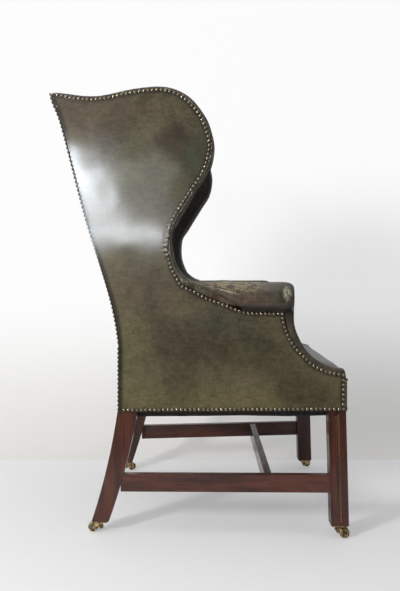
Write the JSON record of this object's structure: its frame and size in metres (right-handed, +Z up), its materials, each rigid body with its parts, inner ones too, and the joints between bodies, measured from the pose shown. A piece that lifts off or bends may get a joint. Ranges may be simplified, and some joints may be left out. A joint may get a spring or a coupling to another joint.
{
  "type": "wingback chair",
  "caption": "Wing armchair covered in aged olive leather with close brass nailing, on square mahogany legs with an H stretcher and brass swivel castors.",
  "frame": {"origin": "on the floor, under the middle of the chair's box", "axes": "+Z up, the chair faces -Y, +X is the sitter's left"},
  "size_m": [0.7354, 0.7683, 1.1475],
  "materials": {
    "mahogany": "old mahogany with a dark waxed polish",
    "beech_frame": "raw beech, out of sight",
    "olive_leather": "aged glossy olive leather",
    "horsehair": "curled hair stuffing under calico, out of sight",
    "jute": "woven jute",
    "dust_cloth": "dark worn cotton",
    "nail_brass": "antiqued domed nail heads",
    "aged_brass": "cast brass with old lacquer",
    "steel": "plain steel"
  },
  "bodies": {
    "chair": {"front_leg_left": "mahogany", "front_leg_right": "mahogany", "rear_leg_left": "mahogany", "rear_leg_right": "mahogany", "side_stretcher_left": "mahogany", "side_stretcher_right": "mahogany", "cross_stretcher": "mahogany", "front_seat_rail": "beech_frame", "rear_seat_rail": "beech_frame", "side_seat_rail_left": "beech_frame", "side_seat_rail_right": "beech_frame", "back_post_left": "beech_frame", "back_post_right": "beech_frame", "crest_rail": "beech_frame", "lower_back_rail": "beech_frame", "arm_post_left": "beech_frame", "arm_post_right": "beech_frame", "arm_rail_left": "beech_frame", "arm_rail_right": "beech_frame", "wing_upright_left": "beech_frame", "wing_upright_right": "beech_frame", "wing_top_rail_left": "beech_frame", "wing_top_rail_right": "beech_frame", "arm_boards": "beech_frame", "corner_blocks": "beech_frame", "joint_pegs": "beech_frame", "seat_leather": "olive_leather", "inside_back_leather": "olive_leather", "inside_wing_leather_left": "olive_leather", "inside_wing_leather_right": "olive_leather", "inside_arm_leather_left": "olive_leather", "inside_arm_leather_right": "olive_leather", "outside_panel_left": "olive_leather", "outside_panel_right": "olive_leather", "outside_back": "olive_leather", "front_border": "olive_leather", "seat_stuffing": "horsehair", "back_stuffing": "horsehair", "side_stuffing_left": "horsehair", "side_stuffing_right": "horsehair", "webbing": "jute", "hessian": "jute", "dust_cloth": "dust_cloth", "side_nails": "nail_brass", "back_nails": "nail_brass", "front_nails": "nail_brass", "castor_plates": "aged_brass", "castor_screws": "steel"},
    "horn_front_left": {"castor_horn_front_left": "aged_brass", "castor_axle_front_left": "steel"},
    "wheel_front_left": {"castor_wheel_front_left": "aged_brass"},
    "horn_front_right": {"castor_horn_front_right": "aged_brass", "castor_axle_front_right": "steel"},
    "wheel_front_right": {"castor_wheel_front_right": "aged_brass"},
    "horn_rear_left": {"castor_horn_rear_left": "aged_brass", "castor_axle_rear_left": "steel"},
    "wheel_rear_left": {"castor_wheel_rear_left": "aged_brass"},
    "horn_rear_right": {"castor_horn_rear_right": "aged_brass", "castor_axle_rear_right": "steel"},
    "wheel_rear_right": {"castor_wheel_rear_right": "aged_brass"}
  },
  "joints": [
    {"name": "swivel_front_left", "type": "hinge", "parent": "chair", "child": "horn_front_left", "pos_m": [0.31825, -0.35725, 0.0285], "axis": [0, 0, 1], "continuous": true},
    {"name": "roll_front_left", "type": "hinge", "parent": "horn_front_left", "child": "wheel_front_left", "pos_m": [0.33401, -0.36956, 0.013], "axis": [0.6157, 0.788, 0], "continuous": true},
    {"name": "swivel_front_right", "type": "hinge", "parent": "chair", "child": "horn_front_right", "pos_m": [-0.31825, -0.35725, 0.0285], "axis": [0, 0, 1], "continuous": true},
    {"name": "roll_front_right", "type": "hinge", "parent": "horn_front_right", "child": "wheel_front_right", "pos_m": [-0.33443, -0.36901, 0.013], "axis": [0.5878, -0.809, 0], "continuous": true},
    {"name": "swivel_rear_left", "type": "hinge", "parent": "chair", "child": "horn_rear_left", "pos_m": [0.286, 0.253, 0.0285], "axis": [0, 0, 1], "continuous": true},
    {"name": "roll_rear_left", "type": "hinge", "parent": "horn_rear_left", "child": "wheel_rear_left", "pos_m": [0.28947, 0.2333, 0.013], "axis": [0.9848, 0.1736, 0], "continuous": true},
    {"name": "swivel_rear_right", "type": "hinge", "parent": "chair", "child": "horn_rear_right", "pos_m": [-0.286, 0.253, 0.0285], "axis": [0, 0, 1], "continuous": true},
    {"name": "roll_rear_right", "type": "hinge", "parent": "horn_rear_right", "child": "wheel_rear_right", "pos_m": [-0.28844, 0.27285, 0.013], "axis": [-0.9925, -0.1219, 0], "continuous": true}
  ]
}
